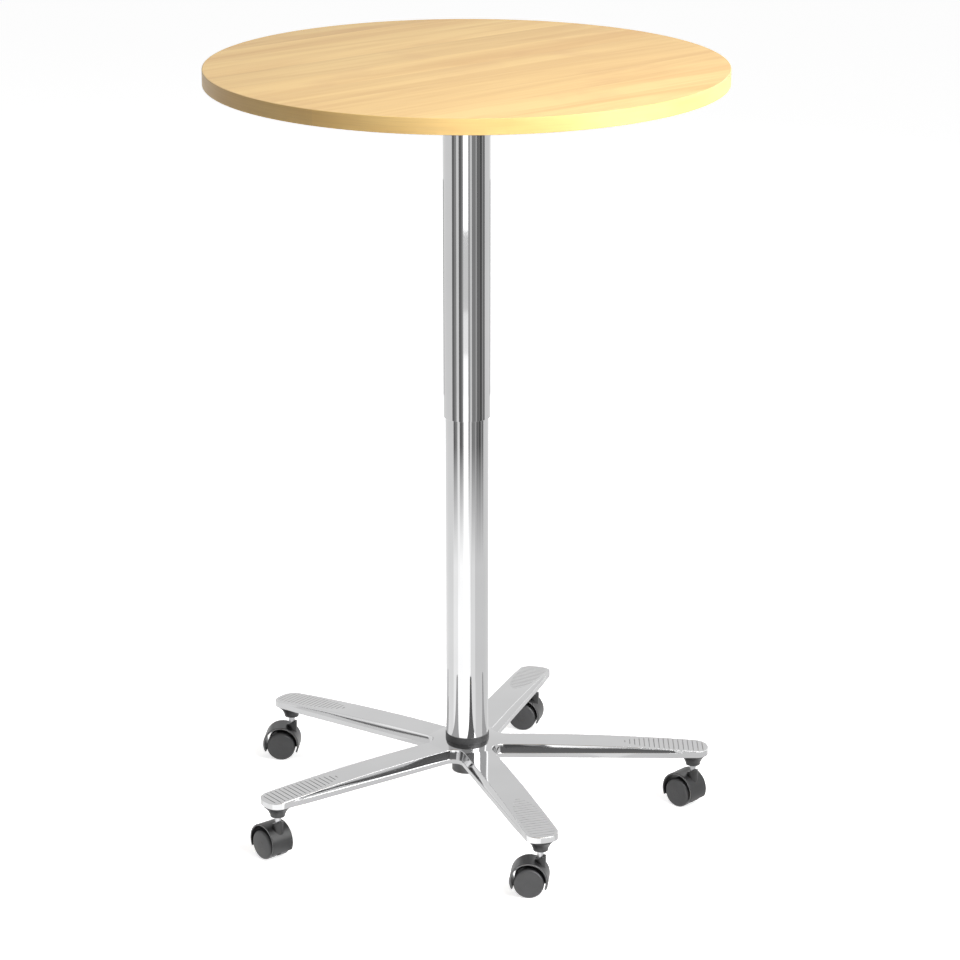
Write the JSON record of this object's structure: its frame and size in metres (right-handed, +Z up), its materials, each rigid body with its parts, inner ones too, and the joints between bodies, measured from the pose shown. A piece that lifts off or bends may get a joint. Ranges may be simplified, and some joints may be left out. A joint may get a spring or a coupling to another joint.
{
  "type": "standing meeting table",
  "caption": "Round wood-decor standing table on a chromed telescopic column with a hand release lever, carried by a star-shaped polished aluminium base on swivel castors.",
  "frame": {"origin": "on the floor, on the column's axis", "axes": "+Z up along the column, +X along the first arm of the base and the release lever"},
  "size_m": [0.7999, 0.8, 1.21],
  "materials": {
    "maple_board": "satin light maple decor",
    "edge_band": "satin, maple decor",
    "chrome": "mirror chrome plate",
    "polished_aluminium": "polished casting",
    "black_plastic": "fine matt",
    "castor_plastic": "satin moulded",
    "wheel_plastic": "satin moulded",
    "steel": "zinc plated",
    "black_paint": "satin powder coat"
  },
  "bodies": {
    "base": {"star_base": "polished_aluminium", "lower_tube": "chrome", "base_ring": "black_plastic", "upper_guide_bush": "black_plastic", "gas_cylinder": "black_paint", "cylinder_gland": "steel", "spring_centring_disc": "black_plastic", "foot_plug": "steel", "clamp_cup": "black_paint", "clamp_washer": "steel", "clamp_bolt": "steel", "socket_right": "black_plastic", "socket_rear_right": "black_plastic", "socket_rear_left": "black_plastic", "socket_front_left": "black_plastic", "socket_front": "black_plastic"},
    "top": {"table_panel": "maple_board", "edge_band": "edge_band", "mounting_plate": "black_paint", "panel_screws": "steel", "upper_tube": "chrome", "guide_rail": "black_plastic", "lower_guide_bush": "black_plastic", "piston": "steel", "piston_rod": "steel", "release_head": "black_paint", "hinge_pin": "steel"},
    "lever": {"release_lever": "chrome", "lever_grip": "black_plastic"},
    "release_pin": {"release_pin": "steel"},
    "castor_right": {"stem_right": "steel", "hood_right": "castor_plastic", "axle_right": "steel"},
    "wheel_a_right": {"wheel_a_right": "wheel_plastic"},
    "wheel_b_right": {"wheel_b_right": "wheel_plastic"},
    "castor_rear_right": {"stem_rear_right": "steel", "hood_rear_right": "castor_plastic", "axle_rear_right": "steel"},
    "wheel_a_rear_right": {"wheel_a_rear_right": "wheel_plastic"},
    "wheel_b_rear_right": {"wheel_b_rear_right": "wheel_plastic"},
    "castor_rear_left": {"stem_rear_left": "steel", "hood_rear_left": "castor_plastic", "axle_rear_left": "steel"},
    "wheel_a_rear_left": {"wheel_a_rear_left": "wheel_plastic"},
    "wheel_b_rear_left": {"wheel_b_rear_left": "wheel_plastic"},
    "castor_front_left": {"stem_front_left": "steel", "hood_front_left": "castor_plastic", "axle_front_left": "steel"},
    "wheel_a_front_left": {"wheel_a_front_left": "wheel_plastic"},
    "wheel_b_front_left": {"wheel_b_front_left": "wheel_plastic"},
    "castor_front": {"stem_front": "steel", "hood_front": "castor_plastic", "axle_front": "steel"},
    "wheel_a_front": {"wheel_a_front": "wheel_plastic"},
    "wheel_b_front": {"wheel_b_front": "wheel_plastic"}
  },
  "joints": [
    {"name": "column_lift", "type": "slide", "parent": "base", "child": "top", "axis": [0, 0, 1], "range_m": [-0.4, 0]},
    {"name": "lever_hinge", "type": "hinge", "parent": "top", "child": "lever", "pos_m": [0.014, 0, 1.1725], "axis": [0, -1, 0], "range_deg": [0, 6], "stiffness_Nm_per_rad": 5},
    {"name": "release_pin_slide", "type": "slide", "parent": "top", "child": "release_pin", "axis": [0, 0, -1], "range_m": [0, 0.0018]},
    {"name": "swivel_right", "type": "hinge", "parent": "base", "child": "castor_right", "pos_m": [0.363, 0, 0.08], "axis": [0, 0, 1], "continuous": true},
    {"name": "roll_a_right", "type": "hinge", "parent": "castor_right", "child": "wheel_a_right", "pos_m": [0.35066, 0.01111, 0.0235], "axis": [0.6691, 0.7431, 0], "continuous": true},
    {"name": "roll_b_right", "type": "hinge", "parent": "castor_right", "child": "wheel_b_right", "pos_m": [0.35066, 0.01111, 0.0235], "axis": [0.6691, 0.7431, 0], "continuous": true},
    {"name": "swivel_rear_right", "type": "hinge", "parent": "base", "child": "castor_rear_right", "pos_m": [0.11217, 0.34523, 0.08], "axis": [0, 0, 1], "continuous": true},
    {"name": "roll_a_rear_right", "type": "hinge", "parent": "castor_rear_right", "child": "wheel_a_rear_right", "pos_m": [0.09609, 0.34933, 0.0235], "axis": [0.247, 0.969, 0], "continuous": true},
    {"name": "roll_b_rear_right", "type": "hinge", "parent": "castor_rear_right", "child": "wheel_b_rear_right", "pos_m": [0.09609, 0.34933, 0.0235], "axis": [0.247, 0.969, 0], "continuous": true},
    {"name": "swivel_rear_left", "type": "hinge", "parent": "base", "child": "castor_rear_left", "pos_m": [-0.29367, 0.21337, 0.08], "axis": [0, 0, 1], "continuous": true},
    {"name": "roll_a_rear_left", "type": "hinge", "parent": "castor_rear_left", "child": "wheel_a_rear_left", "pos_m": [-0.31022, 0.21464, 0.0235], "axis": [0.0767, 0.9971, 0], "continuous": true},
    {"name": "roll_b_rear_left", "type": "hinge", "parent": "castor_rear_left", "child": "wheel_b_rear_left", "pos_m": [-0.31022, 0.21464, 0.0235], "axis": [0.0767, 0.9971, 0], "continuous": true},
    {"name": "swivel_front_left", "type": "hinge", "parent": "base", "child": "castor_front_left", "pos_m": [-0.29367, -0.21337, 0.08], "axis": [0, 0, 1], "continuous": true},
    {"name": "roll_a_front_left", "type": "hinge", "parent": "castor_front_left", "child": "wheel_a_front_left", "pos_m": [-0.30445, -0.20074, 0.0235], "axis": [0.7604, 0.6494, 0], "continuous": true},
    {"name": "roll_b_front_left", "type": "hinge", "parent": "castor_front_left", "child": "wheel_b_front_left", "pos_m": [-0.30445, -0.20074, 0.0235], "axis": [0.7604, 0.6494, 0], "continuous": true},
    {"name": "swivel_front", "type": "hinge", "parent": "base", "child": "castor_front", "pos_m": [0.11217, -0.34523, 0.08], "axis": [0, 0, 1], "continuous": true},
    {"name": "roll_a_front", "type": "hinge", "parent": "castor_front", "child": "wheel_a_front", "pos_m": [0.09565, -0.34364, 0.0235], "axis": [0.0958, 0.9954, 0], "continuous": true},
    {"name": "roll_b_front", "type": "hinge", "parent": "castor_front", "child": "wheel_b_front", "pos_m": [0.09565, -0.34364, 0.0235], "axis": [0.0958, 0.9954, 0], "continuous": true}
  ],
  "couplings": [
    {"joint": "release_pin_slide", "follows": "lever_hinge", "m_per_rad": 0.0165}
  ]
}
